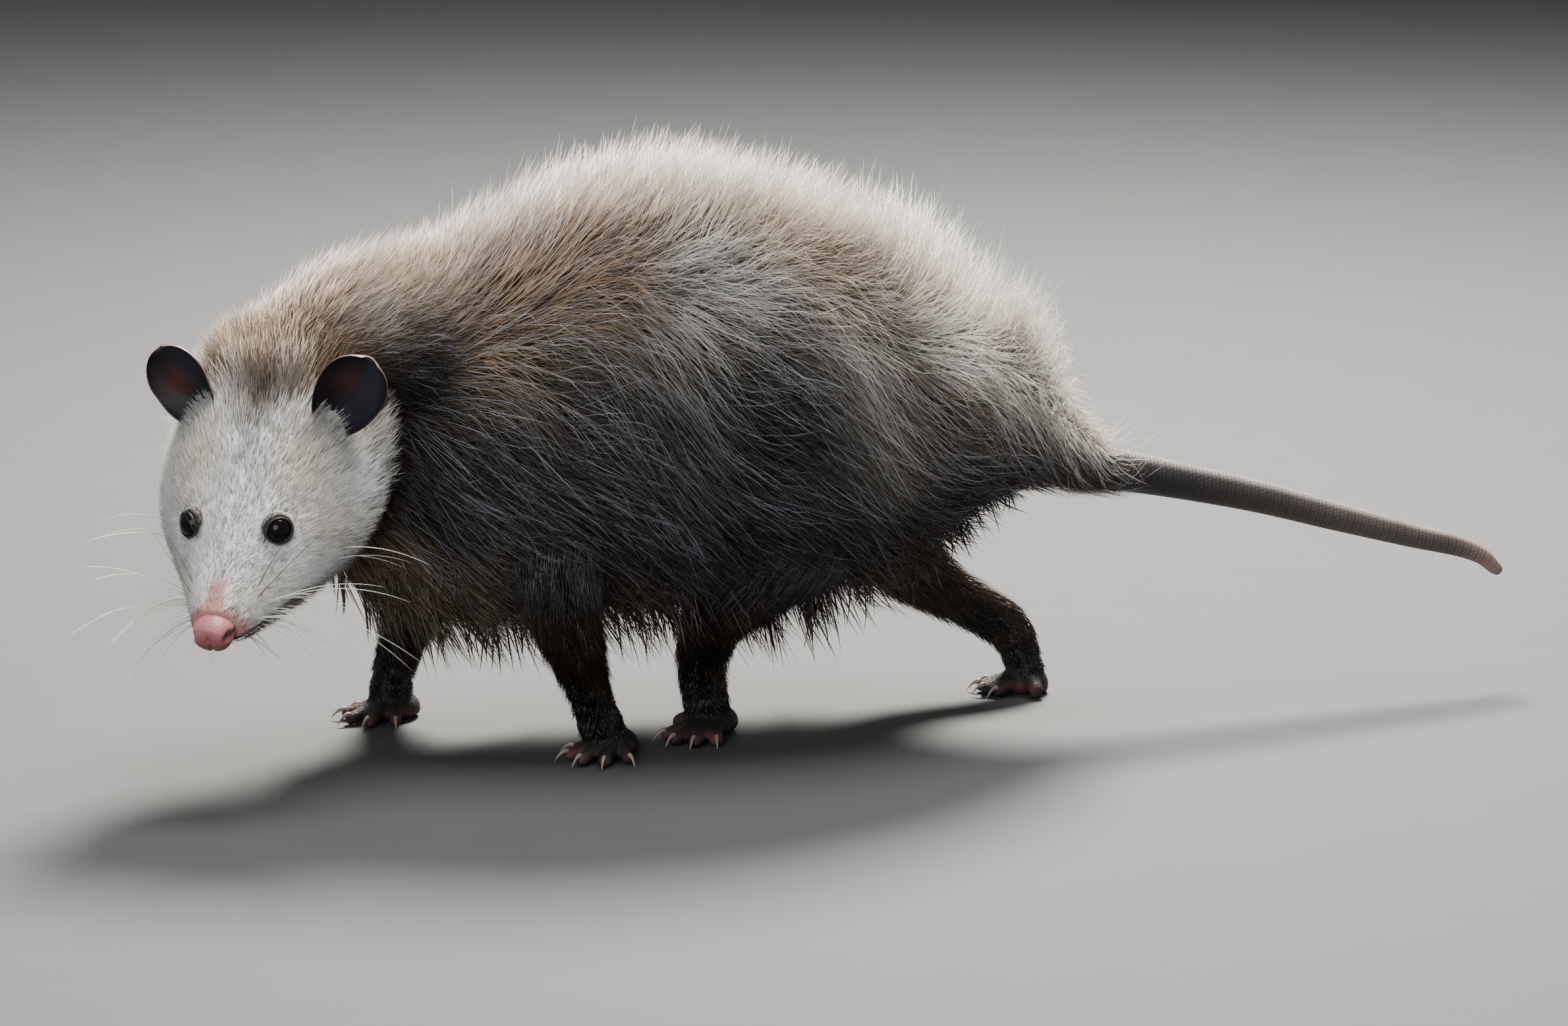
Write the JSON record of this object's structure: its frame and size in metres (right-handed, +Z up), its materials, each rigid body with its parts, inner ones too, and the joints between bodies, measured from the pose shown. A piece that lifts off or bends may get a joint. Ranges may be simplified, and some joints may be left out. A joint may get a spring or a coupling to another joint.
{
  "type": "opossum",
  "caption": "Walking Virginia opossum, life size and still: grizzled long coat, white cone-shaped face turned to its left, bare dark ears and a bare scaly tail held out behind.",
  "frame": {"origin": "on the floor, under the middle of the whole animal's box", "axes": "the animal walks towards -X with its tail towards +X, its left side is towards -Y, and +Z is up"},
  "size_m": [0.6228, 0.188, 0.2435],
  "materials": {
    "coat": "long soft coat with pale tips over tan and charcoal",
    "face": "short soft white fur",
    "limb": "short wet dark fur",
    "paw": "bare dark skin, pinkish at the toes",
    "tail": "bare skin with fine scales in rings",
    "ear": "thin bare skin",
    "eye": "wet and glossy",
    "nose": "moist pink skin",
    "claw": "smooth pale horn"
  },
  "bodies": {
    "root": {"torso": "coat", "neck": "coat", "head": "face", "jaw": "face", "nose": "nose", "eye_left": "eye", "eye_right": "eye", "ear_left": "ear", "ear_right": "ear", "tail_base": "tail", "tail_middle": "tail", "tail_tip": "tail", "foreleg_left": "limb", "foreleg_right": "limb", "hindleg_left": "limb", "hindleg_right": "limb", "forepaw_left": "paw", "forepaw_right": "paw", "hindpaw_left": "paw", "hindpaw_right": "paw"}
  },
  "joints": []
}
